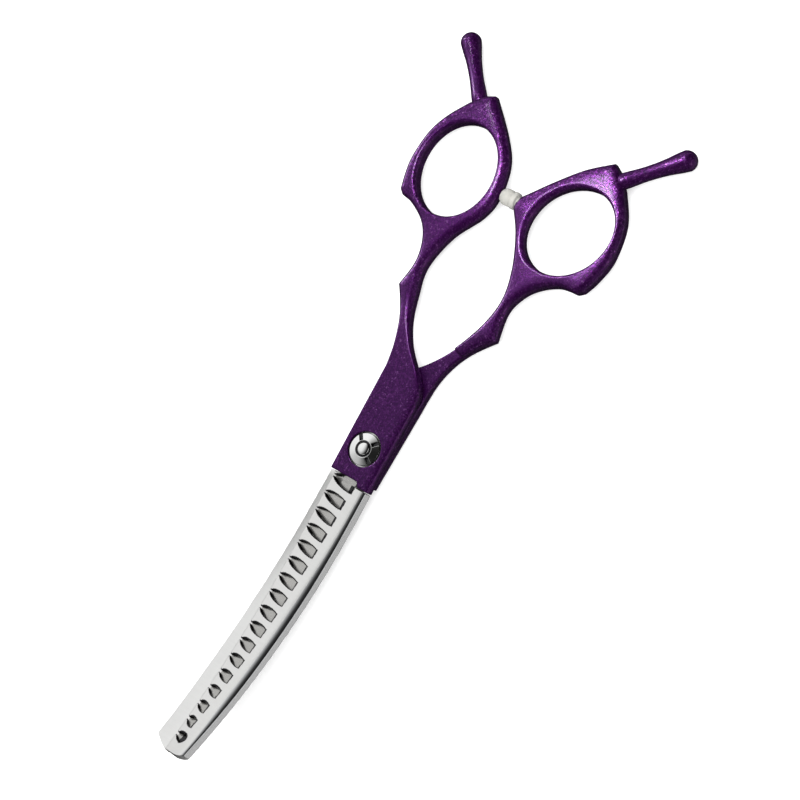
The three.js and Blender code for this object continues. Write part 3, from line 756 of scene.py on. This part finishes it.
def plain_field(s, y, z):
    h = RIDE - z
    edge, spine = plain_edge(s), plain_spine(s)
    edge = edge + 1.5 * smooth((s - 82.2) / 0.9) * smooth((89 - s) / 3) + 0.45 * (1 - smooth((s - 16) / 12))
    q = (edge - y) / (edge - spine)
    face = (h - (KEEN_THICK + (PROUD + RIDE_GAP - KEEN_THICK) * np.minimum(q, 1) / 0.80)) * 0.96
    face = soft_max(face, h - PROUD - RIDE_GAP, 0.5)
    slope = 0.62
    bevel = (h - (PROUD + RIDE_GAP - slope * (spine + 1.2 - y))) / math.hypot(1, slope)
    wall = (spine - y + 0.15 * (h - RIDE_GAP)) / 1.02
    keen = (h + (y - edge) * 0.9 - 0.25) * 0.74
    blade = soft_max(face, bevel, 0.28)
    blade = np.maximum(np.maximum(blade, wall), keen)

    deep = mix(0.32, 0.03, smooth((s - 22) / 32)) * smooth((s - BLADE_START) / 2)
    reach = (plain_edge(s) - 0.45 - spine) / 2
    hollow = deep * np.maximum(0, 1 - ((y - spine - reach) / reach) ** 2)
    blade = np.maximum(np.maximum(blade, RIDE_GAP + hollow - h), y - edge)
    blade = np.maximum(blade, BLADE_START - s)
    blade = cut(blade, TIP_DISTANCE(s, y))

    plate = box_field(s, y, h, PLATE_BACK, BLADE_START + 1, -5.2, 4.0, RIDE_GAP, PLATE_TOP)
    choil = np.maximum((s + 1.1 * y - 13.6) / 1.49, np.maximum(s - 13.5, y - 3.4))
    choil = np.maximum(choil, np.maximum(np.abs(h - 0.55) - 0.4, np.maximum(7.9 - s, -3 - y)))
    blade = soft_min(np.minimum(blade, plate), choil, 0.2)
    return cut(
        blade,
        rod_field(s, y, h, 0, 0, NUT_HOLE, -1, 5),
        rod_field(s, y, h, 0, 0, RECESS, -1, RECESS_DEPTH),
        *pin_holes(s, y, h, -1, 4),
    )


def plain_zones(s, y, z):
    """0 on the outer face and on the strip past the tooth tips, 1 on the polished bevel, 2 on the spine
    wall (brushed, darkened as painted shade), 3 on the rest of the ride face (hollow ground, darkened as
    painted shade under the teeth), 4 on the dark line along the edge (painted shadow)."""
    h, spine = RIDE - z, plain_spine(s)
    bevels = (y < spine + 1.1) & (h > 1.7)
    walls = (y < spine + 0.7) & (h < 1.9)
    rides = (h < 0.56) & (y > spine + 0.05)
    past_teeth = rides & (y < toothed_edge(s) + 0.15)
    on_edge = (y > plain_edge(s) - 0.26) & (s > 9.4)
    return np.select([on_edge, past_teeth, rides, walls, bevels], [4, 0, 3, 2, 1], 0)


make_surface(
    "toothed_blade_ground", toothed_field, (-14.4, -6.0, RIDE - 0.2), (90.2, 6.8, RIDE + 3.1), 0.13,
    [FACE, MIRROR, BRUSHED_SPINE_PAINTED_SHADE, PAINTED_SHADE_STEEL], "front_half", "toothed_blade",
    slot="blade_steel", zones=toothed_zones, move=bend,
)
make_surface(
    "cutting_blade_ground", plain_field, (-14.4, -8.9, RIDE - 3.1), (90.2, 4.4, RIDE + 0.2), 0.13,
    [SATIN, MIRROR, BRUSHED_SPINE_PAINTED_SHADE, RIDE_FACE_PAINTED_SHADE, PAINTED_SHADE_STEEL], "back_half", "cutting_blade",
    slot="blade_steel", zones=plain_zones, move=bend,
)


# ---------------------------------------------------------------- finger rests, bumper and small parts
STUD_LONG = (-STUD_HALF, STUD_HALF)
REST_TILT = 4.4  # degrees that a finger rest points down
REST_SHAPE = [  # (height, radius) pairs up the stem
    (0.12, 2.05), (0.5, 2.12), (2.5, 1.98), (5.5, 1.8), (9, 1.88), (12, 2.12), (14.5, 2.5), (16.3, 2.7),
]
BUMPER_SHAPE = [  # a closed loop of (radius, height) pairs, hollow for its stud
    (1.2, 0), (1.35, 0), (1.35, 1.6), (2.2, 1.7), (2.25, 2.9), (1.95, 3.3), (2.15, 3.8), (2.15, 5.3),
    (1.7, 6.2), (0.9, 6.5), (0, 6.55), (0, 4.6), (1.0, 4.6), (1.0, 0), (1.2, 0),
]
SCREW_SHAPE = [(0, -3.1), (1.7, -3.1), (1.7, -0.3), (1.9, -0.1), (1.9, 2.4), (1.55, 2.55), (1.55, 3.75)]
BOSS_RADIUS, BOSS_SHOULDER, BOSS_RISE = 1.55, 3.72, 0.42  # the screw's domed centre


def rest_profile():
    known_heights, known_radii = zip(*REST_SHAPE)
    heights = np.linspace(known_heights[0], known_heights[-1], 26)
    radii = np.interp(heights, known_heights, known_radii)
    radii = np.convolve(np.pad(radii, 2, mode="edge"), np.ones(5) / 5, "valid")
    profile = [(0, -0.9), (1.9, -0.9), (1.97, -0.3)] + list(zip(radii, heights))
    head, radius = known_heights[-1], known_radii[-1]
    angles = np.linspace(0.08, math.pi / 2 - 0.02, 12)
    profile += [(radius * math.cos(a), head + radius * math.sin(a)) for a in angles]
    return profile + [(0, head + radius)]


def capped(radius, low, high, chamfer=0.15):
    return soften([(0, low), (radius, low), (radius, high), (0, high)], chamfer)


def ring_profile(start, inner, outer, low, high, chamfer):
    """A washer's section, as a closed loop that starts at a radius on its lower face."""
    corners = [(start, low), (outer, low), (outer, high), (inner, high), (inner, low), (start, low)]
    return soften(corners, chamfer)[:-1]


for half, place in (("front", FRONT_REST), ("back", BACK_REST)):
    make_turned(f"{half}_finger_rest_turned", lathe(rest_profile(), 64, place, REST_TILT), [PAINT],
                f"{half}_half", f"{half}_finger_rest", slot="handle_paint")
    make_turned(f"{half}_rest_stud_turned", lathe(capped(STUD_RADIUS, *STUD_LONG), 40, place), [PIN],
                f"{half}_half", f"{half}_rest_stud", slot="pin_steel")

make_turned("bumper_moulded", lathe(soften(BUMPER_SHAPE, 0.4)[:-1], 56, BUMPER), [RUBBER],
            "back_half", "bumper", slot="bumper_rubber")
make_turned("bumper_stud_turned", lathe(capped(0.8, -2.7, 4.3), 40, BUMPER), [PIN],
            "back_half", "bumper_stud", slot="pin_steel")

for half, side in (("front", 1), ("back", -1)):
    for number, (px, py) in enumerate(PINS, 1):
        points, faces = lathe(capped(PIN_RADIUS, *sorted((side * 0.2, side * 2.6))), 40)
        make_turned(f"{half}_tang_pin_{number}_turned", (points + np.array([px, py, 0]), faces), [PIN],
                    f"{half}_half", f"{half}_tang_pin_{number}", slot="pin_steel")

make_turned("pivot_bush_turned", lathe(ring_profile(2.35, 2.1, 2.6, 0.3, 2.2, 0.12)), [BRASS],
            "front_half", "pivot_bush", slot="bush_brass")
make_turned("thrust_washer_pressed", lathe(ring_profile(3.4, 3.0, 3.9, -0.2, 0.2, 0.1)), [NYLON],
            "back_half", "thrust_washer", slot="washer_nylon")
make_turned("spring_washer_pressed", lathe(ring_profile(3.0, 2.2, 3.8, 2.43, 2.6, 0.08)), [TURNED],
            "tension_screw", "spring_washer", slot="polished_steel")
dome = [
    (BOSS_RADIUS * math.cos(a), BOSS_SHOULDER + BOSS_RISE * math.sin(a))
    for a in np.linspace(0.2, math.pi / 2 - 0.03, 12)
]
screw = soften(SCREW_SHAPE, 0.12) + dome + [(0, BOSS_SHOULDER + BOSS_RISE)]
make_turned("pivot_screw_turned", lathe(screw), [TURNED],
            "tension_screw", "pivot_screw", slot="polished_steel")


DIAL_RADIUS, DIAL_BOTTOM, DIAL_BORE = 4.1, 2.7, 1.7
CONE_RIM, CONE_SLOPE = 4.0, 0.38
SLOTS = (48, 137, 225)  # their directions, in degrees


def dial_field(x, y, z):
    r, h = np.hypot(x, y), z - RIDE
    cone = (h - 3.06 - (CONE_RIM - r) * CONE_SLOPE) / 1.07
    dial = soft_max(np.maximum(r - DIAL_RADIUS, DIAL_BOTTOM - h), cone, 0.10)
    groove = np.hypot(r - 1.95, h - 3.9) - 0.27
    dial = soft_max(dial, -groove, 0.06)
    dial = np.maximum(np.maximum(dial, h - 4.0), DIAL_BORE - r)
    for degrees in SLOTS:
        c, s = math.cos(math.radians(degrees)), math.sin(math.radians(degrees))
        slot = box_field(x * c + y * s, y * c - x * s, h, 2.3, 6, -0.5, 0.5, 2.85, 6)
        dial = soft_max(dial, -slot, 0.06)
    return dial


def dial_zones(x, y, z):
    """1 in the slots, in the groove round the boss, on the outer side and below (painted near black as
    shade), 0 on the polished cone.
    """
    r, h = np.hypot(x, y), z - RIDE
    return np.where((h < 2.96 + (CONE_RIM - r) * CONE_SLOPE) | (r > DIAL_RADIUS - 0.05), 1, 0)


make_surface(
    "tension_dial_cut", dial_field, (-4.4, -4.4, RIDE + 2.4), (4.4, 4.4, RIDE + 4.5), 0.07, [TURNED, PAINTED_SHADE_STEEL],
    "tension_screw", "tension_dial", slot="polished_steel", zones=dial_zones,
)


def nut_field(x, y, z):
    """A flange with two small spanner holes below, and a shank that is hollow for the screw."""
    r = np.hypot(x, y)
    flange = soft_max(r - 4.2, np.abs(z - 0.275) - 0.275, 0.2)
    shank = np.maximum(r - 2.7, np.abs(z - 1.8) - 1.7)
    nut = np.maximum(np.minimum(flange, shank), -np.maximum(r - 1.8, 0.7 - z))
    for side in (3.0, -3.0):
        nut = soft_max(nut, -rod_field(x, y, z, side, 0, 0.6, -1, 0.5), 0.06)
    return nut


make_surface(
    "pivot_nut_turned", nut_field, (-4.5, -4.5, -0.3), (4.5, 4.5, 3.8), 0.09, [TURNED],
    "back_half", "pivot_nut", slot="polished_steel",
)


# ---------------------------------------------------------------- floor, light and camera
FLOOR_REACH = 3.0  # metres from the middle to each side
FLOOR_GAP = 0.05  # millimetres below the part, so that the two never lie in one plane
floor_mesh = bpy.data.meshes.new("floor")
corners = [(-FLOOR_REACH, -FLOOR_REACH, 0), (FLOOR_REACH, -FLOOR_REACH, 0),
           (FLOOR_REACH, FLOOR_REACH, 0), (-FLOOR_REACH, FLOOR_REACH, 0)]
floor_mesh.from_pydata(corners, [], [(0, 1, 2, 3)])
floor = bpy.data.objects.new("floor", floor_mesh)
floor.location.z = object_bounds()[0].z - FLOOR_GAP * MM
bpy.context.scene.collection.objects.link(floor)
material, shader, node, links, place = new_material("pale_floor")
tone = node("ShaderNodeTexNoise", Scale=6.0, Detail=2.0)
links.new(place, tone.inputs["Vector"])
colour = ramp(node, links, tone.outputs["Fac"], [(0.3, (0.70, 0.70, 0.70)), (0.7, (0.72, 0.72, 0.72))])
links.new(colour, shader.inputs["Base Color"])
shader.inputs["Roughness"].default_value = 0.9
shader.inputs["Specular IOR Level"].default_value = 0.1
shader.inputs["Emission Color"].default_value = (1, 1, 1, 1)
shader.inputs["Emission Strength"].default_value = 0.40
floor_mesh.materials.append(material)
floor.visible_glossy = False

world = bpy.data.worlds.new("studio")
world.use_nodes = True
bpy.context.scene.world = world
wn, wl = world.node_tree.nodes, world.node_tree.links
direction = wn.new("ShaderNodeTexCoord").outputs["Generated"]


def patch(toward, inner, outer, strength):
    """A round soft light in the surroundings: full within the inner angle, gone beyond the outer one."""
    dot = wn.new("ShaderNodeVectorMath")
    dot.operation = "DOT_PRODUCT"
    wl.new(direction, dot.inputs[0])
    dot.inputs[1].default_value = Vector(toward).normalized()
    fade = wn.new("ShaderNodeMapRange")
    fade.interpolation_type = "SMOOTHSTEP"
    fade.inputs["From Min"].default_value = math.cos(math.radians(outer))
    fade.inputs["From Max"].default_value = math.cos(math.radians(inner))
    fade.inputs["To Max"].default_value = strength
    wl.new(dot.outputs["Value"], fade.inputs["Value"])
    return fade.outputs["Result"]


def shade(source, *stops):
    """A smooth curve through (value, brightness) stops along one component of the direction."""
    made = wn.new("ShaderNodeFloatCurve")
    start, end = stops[0][0], stops[-1][0]
    scale = wn.new("ShaderNodeMapRange")
    scale.inputs["From Min"].default_value, scale.inputs["From Max"].default_value = start, end
    wl.new(source, scale.inputs["Value"])
    wl.new(scale.outputs["Result"], made.inputs["Value"])
    curve = made.mapping.curves[0]
    most = max(value for _, value in stops)
    curve.points[0].location = (0, stops[0][1] / most)
    curve.points[1].location = (1, stops[-1][1] / most)
    for place, value in stops[1:-1]:
        curve.points.new((place - start) / (end - start), value / most)
    made.mapping.update()
    gain = wn.new("ShaderNodeMath")
    gain.operation = "MULTIPLY"
    gain.inputs[1].default_value = most
    wl.new(made.outputs["Value"], gain.inputs[0])
    return gain.outputs[0]


def combine(operation, a, b):
    made = wn.new("ShaderNodeMath")
    made.operation = operation
    wl.new(a, made.inputs[0])
    wl.new(b, made.inputs[1])
    return made.outputs[0]


parts = wn.new("ShaderNodeSeparateXYZ")
wl.new(direction, parts.inputs[0])
# Above the horizon: pale towards -Y, dark from the middle on, and pale again at the far +Y side.
across = shade(
    parts.outputs["Y"],
    (-1, 0.90), (-0.80, 0.94), (-0.60, 0.96), (-0.46, 0.92), (-0.36, 0.76), (-0.22, 0.46), (-0.08, 0.20),
    (0.06, 0.05), (0.2, 0.02), (0.55, 0.03), (0.72, 0.30), (0.86, 0.75), (1, 0.85),
)
sideways = shade(parts.outputs["X"], (-1, 1.0), (0.15, 1.0), (0.65, 0.55), (1, 0.5))
above = shade(parts.outputs["Z"], (-1, 0), (0.0, 0), (0.12, 1), (1, 1))
sky = combine("MULTIPLY", combine("MULTIPLY", across, sideways), above)
# Below the horizon: a pale band, brightest towards +Y.
level = shade(
    parts.outputs["Z"],
    (-1, 0.15), (-0.85, 0.2), (-0.62, 1.0), (-0.30, 1.0), (-0.12, 0.1), (0, 0), (1, 0),
)
towards = shade(parts.outputs["Y"], (-1, 0.12), (0.0, 0.15), (0.55, 0.45), (0.80, 0.95), (1, 1))
band = combine("MULTIPLY", level, towards)
spark = patch((0.9, 0.25, 0.35), 6, 24, 0.6)
lit = combine("ADD", combine("ADD", sky, band), spark)
seen = wn.new("ShaderNodeLightPath").outputs["Is Camera Ray"]  # the camera itself sees plain white
wl.new(combine("MAXIMUM", lit, seen), wn["Background"].inputs["Strength"])
wn["Background"].inputs["Color"].default_value = (1, 1, 1, 1)


def area_light(name, toward, distance, size, radiance, target=(0, 0, 0), colour=(1, 1, 1)):
    """A round soft light that faces its target. Its power is worked out from the brightness of its disc."""
    lamp = bpy.data.lights.new(name, "AREA")
    lamp.shape, lamp.size, lamp.color = "DISK", size, colour
    lamp.energy = radiance * math.pi * math.pi * size**2 / 4
    made = bpy.data.objects.new(name, lamp)
    spot = Vector(toward).normalized()
    made.location = spot * distance + Vector(target) * MM
    made.rotation_euler = spot.to_track_quat("Z", "Y").to_euler()
    made.visible_camera = False
    bpy.context.scene.collection.objects.link(made)
    return made


area_light("overhead", (0.0, 0.1, 1.0), 1.2, 2.2, 3.85).visible_glossy = False

# Four small lights shine only on the lacquered pieces.
painted = bpy.data.collections.new("painted")
for piece in bpy.data.objects:
    if piece.type == "MESH" and PAINT.name in piece.data.materials:
        painted.objects.link(piece)
for lamp in (
    area_light("side_softbox", (-0.10, -0.92, 0.40), 0.6, 0.16, 40, (-45, 0, 5)),
    area_light("ring_softbox", (0.02, -0.49, 0.87), 0.075, 0.016, 150, (-84, 31, 6)),
    area_light("rest_softbox", (-0.17, -0.26, 0.95), 0.20, 0.02, 85, (-100, -30, 6)),
    area_light("rim_softbox", (0.05, 0.98, 0.14), 0.6, 0.08, 24, (-45, 0, 5), (1, 0.72, 0.85)),
):
    lamp.light_linking.receiver_collection = painted

CENTRE = Vector((-14.9, 2.75, 8.0)) * MM  # what the camera looks at
AWAY = Vector((-0.02, 0.459, 0.8884)).normalized()  # from there towards the camera
REACH = 0.700
ROLL = math.radians(241.8)  # turns +X in the picture to its lower left
SENSOR, FOCAL_LENGTH = 36.0, 128.205
along_x = (Vector((1, 0, 0)) - AWAY * AWAY.x).normalized()
along_y = AWAY.cross(along_x)
right = along_x * math.cos(ROLL) - along_y * math.sin(ROLL)
up = along_x * math.sin(ROLL) + along_y * math.cos(ROLL)
camera_data = bpy.data.cameras.new("camera")
camera_data.sensor_width = SENSOR
camera_data.lens = FOCAL_LENGTH
camera_data.clip_start, camera_data.clip_end = 0.01, 20
camera = bpy.data.objects.new("camera", camera_data)
spin = Matrix((right, up, AWAY)).transposed().to_4x4()
camera.matrix_world = Matrix.Translation(CENTRE + AWAY * REACH) @ spin
bpy.context.scene.collection.objects.link(camera)
bpy.context.scene.camera = camera
bpy.context.scene.view_settings.view_transform = "Standard"
